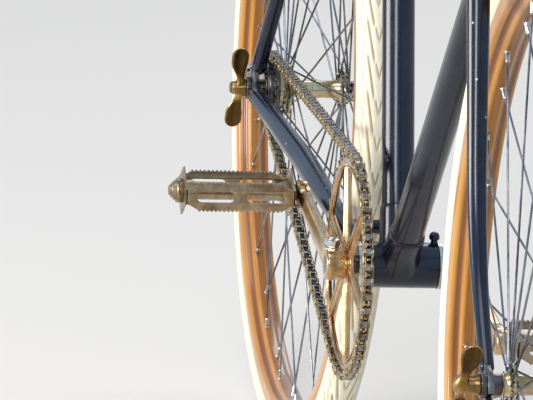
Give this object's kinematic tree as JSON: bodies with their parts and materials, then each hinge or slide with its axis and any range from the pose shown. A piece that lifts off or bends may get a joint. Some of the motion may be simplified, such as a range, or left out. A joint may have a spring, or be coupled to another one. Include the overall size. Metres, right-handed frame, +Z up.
{
  "type": "racing bicycle",
  "caption": "Vintage single-speed racing bicycle with wooden rims, cream tyres, cottered cranks, rat-trap pedals and wing nuts; wheels, cranks, pedals and steering turn.",
  "frame": {"origin": "top of the saddle where the rider sits, above the rear half of the saddle", "axes": "+X forward, +Y to the rider's left, +Z up"},
  "size_m": [1.7859, 0.4282, 0.9839],
  "materials": {
    "frame_enamel": "glossy",
    "bright_steel": "satin",
    "nickel": "aged plate",
    "warm_nickel": "aged plate",
    "chain_steel": "oiled",
    "brass": "tarnished",
    "varnished_wood": "varnished",
    "cream_tyre": "matte",
    "saddle_leather": "polished by use",
    "saddle_steel": "satin",
    "bar_tape": "worn"
  },
  "bodies": {
    "frame": {"seat_tube": "frame_enamel", "down_tube": "frame_enamel", "top_tube": "frame_enamel", "head_tube": "frame_enamel", "frame_lugs": "frame_enamel", "bearing_cups": "bright_steel", "right_chainstay": "frame_enamel", "left_chainstay": "frame_enamel", "right_seatstay": "frame_enamel", "left_seatstay": "frame_enamel", "stay_bridges": "frame_enamel", "right_rear_dropout": "bright_steel", "left_rear_dropout": "bright_steel", "seat_post": "nickel", "saddle_leather": "saddle_leather", "saddle_frame": "saddle_steel", "chain": "chain_steel", "sprocket": "chain_steel", "rear_axle": "bright_steel", "rear_wing_nuts": "brass"},
    "fork": {"steerer": "bright_steel", "headset_races": "bright_steel", "fork_crown": "frame_enamel", "right_fork_blade": "frame_enamel", "left_fork_blade": "frame_enamel", "right_fork_end": "bright_steel", "left_fork_end": "bright_steel", "stem": "nickel", "handlebar": "nickel", "right_wrapped_drop": "bar_tape", "left_wrapped_drop": "bar_tape", "front_axle": "bright_steel", "front_wing_nuts": "brass"},
    "front_wheel": {"front_tyre": "cream_tyre", "front_rim": "varnished_wood", "front_hub_and_spokes": "bright_steel"},
    "rear_wheel": {"rear_tyre": "cream_tyre", "rear_rim": "varnished_wood", "rear_hub_and_spokes": "bright_steel"},
    "cranks": {"crank_spindle": "nickel", "chainring": "warm_nickel", "right_crank": "warm_nickel", "left_crank": "warm_nickel", "cotter_pins": "nickel", "right_pedal_spindle": "nickel", "left_pedal_spindle": "nickel"},
    "right_pedal": {"right_pedal_cage": "nickel", "right_pedal_barrel": "nickel"},
    "left_pedal": {"left_pedal_cage": "nickel", "left_pedal_barrel": "nickel"}
  },
  "joints": [
    {"name": "steering", "type": "hinge", "parent": "frame", "child": "fork", "pos_m": [0.79044, 0, -0.65311], "axis": [-0.342, 0, 0.9397], "range_deg": [-70, 70]},
    {"name": "front_wheel_spin", "type": "hinge", "parent": "fork", "child": "front_wheel", "pos_m": [0.85152, 0, -0.63088], "axis": [0, 1, 0], "continuous": true},
    {"name": "rear_wheel_spin", "type": "hinge", "parent": "frame", "child": "rear_wheel", "pos_m": [-0.22848, 0, -0.63088], "axis": [0, 1, 0], "continuous": true},
    {"name": "crank_spin", "type": "hinge", "parent": "frame", "child": "cranks", "pos_m": [0.2465, 0, -0.68638], "axis": [0, 1, 0], "continuous": true},
    {"name": "right_pedal_spin", "type": "hinge", "parent": "cranks", "child": "right_pedal", "pos_m": [0.08093, -0.1175, -0.66104], "axis": [0, 1, 0], "continuous": true},
    {"name": "left_pedal_spin", "type": "hinge", "parent": "cranks", "child": "left_pedal", "pos_m": [0.41208, 0.1175, -0.71172], "axis": [0, 1, 0], "continuous": true}
  ]
}
